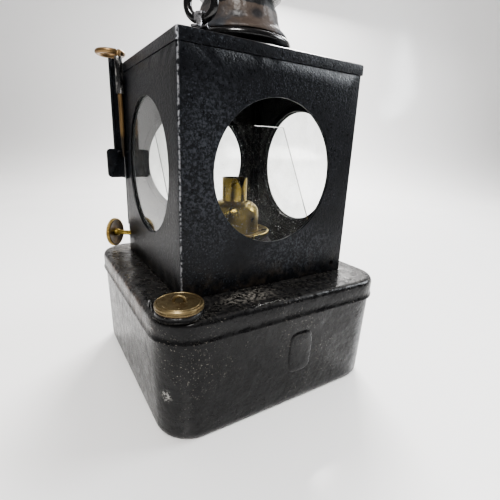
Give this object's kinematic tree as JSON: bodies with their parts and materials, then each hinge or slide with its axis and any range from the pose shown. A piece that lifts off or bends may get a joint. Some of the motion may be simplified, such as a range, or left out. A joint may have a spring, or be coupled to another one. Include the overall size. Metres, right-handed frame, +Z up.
{
  "type": "railway hand lamp",
  "caption": "Square railway hand lamp with round windows, oil reservoir base, brass burner, hinged rear door, drop pin, chimney and bail handle.",
  "frame": {"origin": "middle of the reservoir underside, on the surface it stands on", "axes": "+Z up through the chimney, front window faces -Y, hinged door faces +Y, +X to the lamp's right seen from the front"},
  "size_m": [0.159, 0.159, 0.3025],
  "materials": {
    "painted_sheet": "semi-gloss blue-black paint, mottled",
    "black_enamel": "worn gloss black enamel",
    "aged_brass": "aged, bright where handled",
    "dark_patina": "dark patina, bright knurled rim",
    "heat_tinted_sheet": "scorched grey-brown sheet",
    "window_glass": "clear, dusty",
    "bright_steel": "worn",
    "cotton": "woven wick, charred tip",
    "seal": "compressed washer"
  },
  "bodies": {
    "lamp_body": {"font_shell": "black_enamel", "font_deck": "black_enamel", "foot_frame": "painted_sheet", "filler_neck": "black_enamel", "neck_staple": "bright_steel", "burner_seat": "heat_tinted_sheet", "burner_flange": "aged_brass", "burner_dome": "aged_brass", "wick_tube": "aged_brass", "spindle_bush": "painted_sheet", "case_walls": "painted_sheet", "case_roof": "painted_sheet", "bezel_front": "painted_sheet", "bezel_left": "painted_sheet", "bezel_right": "painted_sheet", "pane_left": "window_glass", "pane_right": "window_glass", "pane_front_loose": "window_glass", "rod_tube": "painted_sheet", "hinge_pin": "bright_steel", "case_knuckle_low": "painted_sheet", "case_knuckle_high": "painted_sheet", "chimney_ring": "black_enamel", "chimney_drum": "heat_tinted_sheet", "chimney_cowl": "black_enamel", "chimney_cap": "black_enamel", "bail_staple_front": "bright_steel", "bail_staple_rear": "bright_steel"},
    "filler_washer": {"cap_seal": "seal"},
    "filler_screw_cap": {"filler_cap": "aged_brass", "cap_eye": "aged_brass"},
    "wick_drive": {"wick_spindle": "bright_steel", "spur_wheel": "aged_brass", "wick_knob": "dark_patina"},
    "wick_strip": {"wick": "cotton"},
    "bail": {"bail_handle": "black_enamel"},
    "rear_door": {"door_panel": "painted_sheet", "door_tab": "painted_sheet", "door_knuckle_low": "painted_sheet", "door_knuckle_high": "painted_sheet", "pane_rear": "window_glass", "bezel_rear": "painted_sheet"},
    "drop_pin": {"drop_rod": "aged_brass", "drop_ring": "aged_brass"}
  },
  "joints": [
    {"name": "filler_cap_lift", "type": "slide", "parent": "lamp_body", "child": "filler_washer", "axis": [0, 0, 1], "range_m": [0, 0.003]},
    {"name": "filler_cap_turn", "type": "hinge", "parent": "filler_washer", "child": "filler_screw_cap", "pos_m": [-0.0645, -0.0645, 0.0785], "axis": [0, 0, 1], "range_deg": [0, 721]},
    {"name": "wick_spindle_turn", "type": "hinge", "parent": "lamp_body", "child": "wick_drive", "pos_m": [-0.0681, 0.0658, 0.0887], "axis": [-0.7261, 0.6868, -0.034], "range_deg": [-31, 62]},
    {"name": "wick_raise", "type": "slide", "parent": "lamp_body", "child": "wick_strip", "axis": [0, 0, 1], "range_m": [-0.0016, 0.0032]},
    {"name": "bail_swing", "type": "hinge", "parent": "lamp_body", "child": "bail", "pos_m": [0.0008, -0.0026, 0.2244], "axis": [0.7621, 0.6474, 0], "range_deg": [-70, 70]},
    {"name": "rear_door_swing", "type": "hinge", "parent": "lamp_body", "child": "rear_door", "pos_m": [0.0641, 0.0604, 0.1395], "axis": [0, 0, -1], "range_deg": [0, 110]},
    {"name": "drop_pin_lift", "type": "slide", "parent": "lamp_body", "child": "drop_pin", "axis": [0, 0, 1], "range_m": [0, 0.03]}
  ],
  "couplings": [
    {"joint": "filler_cap_turn", "follows": "filler_cap_lift", "rad_per_m": 4188.8},
    {"joint": "wick_spindle_turn", "follows": "wick_raise", "rad_per_m": 333.33}
  ]
}
